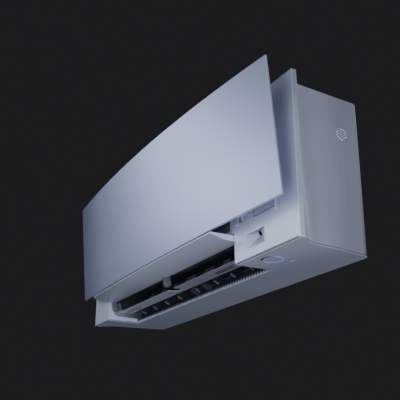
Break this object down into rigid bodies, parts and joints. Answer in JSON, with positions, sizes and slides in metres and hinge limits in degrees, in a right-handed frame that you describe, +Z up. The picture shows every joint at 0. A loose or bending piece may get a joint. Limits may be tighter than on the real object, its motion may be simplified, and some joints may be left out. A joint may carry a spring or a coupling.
{
  "type": "mini split indoor unit",
  "caption": "Wall-mounted air conditioner indoor unit with a motorised bowed front panel, a wide air flap, a guide vane, swinging louvres and a cross-flow fan.",
  "frame": {"origin": "centre of the four wall screws, on the wall behind the mounting plate", "axes": "+Z up, the front faces -Y, +X to the right when seen from the front; Y = 0 is the wall"},
  "size_m": [0.9, 0.2578, 0.3163],
  "materials": {
    "silver_shell": "satin silver paint on moulded plastic",
    "panel_face": "smooth satin silver, fine metallic flake",
    "flap_face": "satin silver",
    "duct_black": "matt black moulding",
    "chassis_black": "matt dark moulding",
    "louvre_grey": "satin grey moulding",
    "fan_black": "matt glass-filled moulding",
    "coil_fin": "stacked thin fins",
    "copper": "drawn copper tube",
    "nut_brass": "turned brass",
    "zinc_steel": "zinc plated steel",
    "shaft_steel": "ground steel",
    "rubber_black": "moulded rubber",
    "box_grey": "matt dark grey moulding",
    "board_green": "solder-masked circuit board",
    "nylon_white": "natural nylon",
    "lens_black": "polished dark window",
    "ring_light": "emissive translucent light guide",
    "vent_grey": "satin light grey insert",
    "filter_mesh": "woven dust mesh in a moulded frame",
    "purifier": "pleated paper element",
    "button_grey": "satin moulding"
  },
  "bodies": {
    "case": {"mounting_plate": "zinc_steel", "rear_chassis": "chassis_black", "fan_scroll": "duct_black", "duct_end_left": "duct_black", "duct_end_right": "duct_black", "drain_pan": "chassis_black", "evaporator_front": "coil_fin", "evaporator_rear": "coil_fin", "evaporator_tubes": "copper", "refrigerant_pipes": "copper", "flare_nuts": "nut_brass", "fan_bearing": "rubber_black", "fan_motor": "zinc_steel", "motor_clamp": "chassis_black", "electrical_box": "box_grey", "electrical_box_cover": "zinc_steel", "circuit_board": "board_green", "terminal_block": "box_grey", "front_frame": "silver_shell", "side_cover_left": "silver_shell", "side_cover_right": "silver_shell", "intake_grille": "silver_shell", "bottom_cover": "silver_shell", "service_cover": "silver_shell", "sensor_bezel": "silver_shell", "sensor_lens": "lens_black", "indicator_ring": "ring_light", "indicator_disc": "silver_shell", "indicator_board": "board_green", "side_vent": "vent_grey", "panel_motors": "zinc_steel", "panel_guides": "chassis_black", "flap_pins": "shaft_steel", "flap_support": "duct_black", "flap_motors": "zinc_steel", "louvre_motors": "zinc_steel", "purifying_filters": "purifier", "case_screws": "zinc_steel"},
    "panel_arms": {"panel_arms": "nylon_white"},
    "panel_hangers": {"panel_hangers": "zinc_steel"},
    "front_panel": {"front_panel": "panel_face", "panel_hinge_pins": "zinc_steel"},
    "upper_arms": {"upper_arms": "nylon_white"},
    "panel_pinions": {"panel_pinions": "nylon_white"},
    "main_flap": {"main_flap": "flap_face"},
    "guide_vane": {"guide_vane": "flap_face"},
    "louvre_links": {"louvre_links": "louvre_grey"},
    "fan": {"cross_flow_fan": "fan_black", "fan_shaft": "shaft_steel"},
    "filter_left": {"filter_left": "filter_mesh"},
    "filter_right": {"filter_right": "filter_mesh"},
    "manual_button": {"manual_button": "button_grey"},
    "louvre_1": {"louvre_1": "louvre_grey"},
    "louvre_2": {"louvre_2": "louvre_grey"},
    "louvre_3": {"louvre_3": "louvre_grey"},
    "louvre_4": {"louvre_4": "louvre_grey"},
    "louvre_5": {"louvre_5": "louvre_grey"},
    "louvre_6": {"louvre_6": "louvre_grey"},
    "louvre_7": {"louvre_7": "louvre_grey"},
    "louvre_8": {"louvre_8": "louvre_grey"}
  },
  "joints": [
    {"name": "panel_slide", "type": "slide", "parent": "case", "child": "panel_arms", "axis": [0, 0.9651, -0.262], "range_m": [0, 0.029]},
    {"name": "panel_tilt", "type": "hinge", "parent": "panel_arms", "child": "panel_hangers", "pos_m": [0, -0.2115, -0.04924], "axis": [1, 0, 0], "range_deg": [-5.04, 0]},
    {"name": "panel_lift", "type": "hinge", "parent": "panel_hangers", "child": "front_panel", "pos_m": [0, -0.2326, 0.1626], "axis": [-1, 0, 0], "range_deg": [0, 50]},
    {"name": "upper_arm_slide", "type": "slide", "parent": "case", "child": "upper_arms", "axis": [0, 1, 0], "range_m": [0, 0.041]},
    {"name": "pinion_spin", "type": "hinge", "parent": "case", "child": "panel_pinions", "pos_m": [0, -0.1589, -0.0749], "axis": [-1, 0, 0], "range_deg": [0, 256]},
    {"name": "flap_turn", "type": "hinge", "parent": "case", "child": "main_flap", "pos_m": [0, -0.167, -0.119], "axis": [1, 0, 0], "range_deg": [0, 178]},
    {"name": "vane_turn", "type": "hinge", "parent": "case", "child": "guide_vane", "pos_m": [0, -0.159, -0.10905], "axis": [-1, 0, 0], "range_deg": [0, 92]},
    {"name": "link_slide", "type": "slide", "parent": "case", "child": "louvre_links", "axis": [1, 0, 0], "range_m": [-0.00975, 0.00975]},
    {"name": "fan_spin", "type": "hinge", "parent": "case", "child": "fan", "pos_m": [0, -0.095, -0.022], "axis": [1, 0, 0], "continuous": true},
    {"name": "filter_left_slide", "type": "slide", "parent": "case", "child": "filter_left", "axis": [0, 0, 1], "range_m": [0, 0.2]},
    {"name": "filter_right_slide", "type": "slide", "parent": "case", "child": "filter_right", "axis": [0, 0, 1], "range_m": [0, 0.2]},
    {"name": "button_press", "type": "slide", "parent": "case", "child": "manual_button", "axis": [0, 1, 0], "range_m": [0, 0.0015], "stiffness_N_per_m": 400, "springref_m": -0.001},
    {"name": "louvre_1_swing", "type": "hinge", "parent": "case", "child": "louvre_1", "pos_m": [-0.289, -0.084, -0.1144], "axis": [0, 0.9048, -0.4258], "range_deg": [-35.1, 35.1]},
    {"name": "louvre_2_swing", "type": "hinge", "parent": "case", "child": "louvre_2", "pos_m": [-0.2245, -0.084, -0.1144], "axis": [0, 0.9048, -0.4258], "range_deg": [-35.1, 35.1]},
    {"name": "louvre_3_swing", "type": "hinge", "parent": "case", "child": "louvre_3", "pos_m": [-0.16, -0.084, -0.1144], "axis": [0, 0.9048, -0.4258], "range_deg": [-35.1, 35.1]},
    {"name": "louvre_4_swing", "type": "hinge", "parent": "case", "child": "louvre_4", "pos_m": [-0.0955, -0.084, -0.1144], "axis": [0, 0.9048, -0.4258], "range_deg": [-35.1, 35.1]},
    {"name": "louvre_5_swing", "type": "hinge", "parent": "case", "child": "louvre_5", "pos_m": [-0.011, -0.084, -0.1144], "axis": [0, 0.9048, -0.4258], "range_deg": [-35.1, 35.1]},
    {"name": "louvre_6_swing", "type": "hinge", "parent": "case", "child": "louvre_6", "pos_m": [0.07, -0.084, -0.1144], "axis": [0, 0.9048, -0.4258], "range_deg": [-35.1, 35.1]},
    {"name": "louvre_7_swing", "type": "hinge", "parent": "case", "child": "louvre_7", "pos_m": [0.136, -0.084, -0.1144], "axis": [0, 0.9048, -0.4258], "range_deg": [-35.1, 35.1]},
    {"name": "louvre_8_swing", "type": "hinge", "parent": "case", "child": "louvre_8", "pos_m": [0.202, -0.084, -0.1144], "axis": [0, 0.9048, -0.4258], "range_deg": [-35.1, 35.1]}
  ],
  "couplings": [
    {"joint": "panel_tilt", "follows": "panel_slide", "rad_per_m": -3.0273},
    {"joint": "upper_arm_slide", "follows": "panel_slide", "ratio": 1.4131},
    {"joint": "pinion_spin", "follows": "panel_slide", "rad_per_m": 153.85},
    {"joint": "louvre_1_swing", "follows": "link_slide", "rad_per_m": 62.66},
    {"joint": "louvre_2_swing", "follows": "link_slide", "rad_per_m": 62.66},
    {"joint": "louvre_3_swing", "follows": "link_slide", "rad_per_m": 62.66},
    {"joint": "louvre_4_swing", "follows": "link_slide", "rad_per_m": 62.66},
    {"joint": "louvre_5_swing", "follows": "link_slide", "rad_per_m": 62.66},
    {"joint": "louvre_6_swing", "follows": "link_slide", "rad_per_m": 62.66},
    {"joint": "louvre_7_swing", "follows": "link_slide", "rad_per_m": 62.66},
    {"joint": "louvre_8_swing", "follows": "link_slide", "rad_per_m": 62.66}
  ]
}
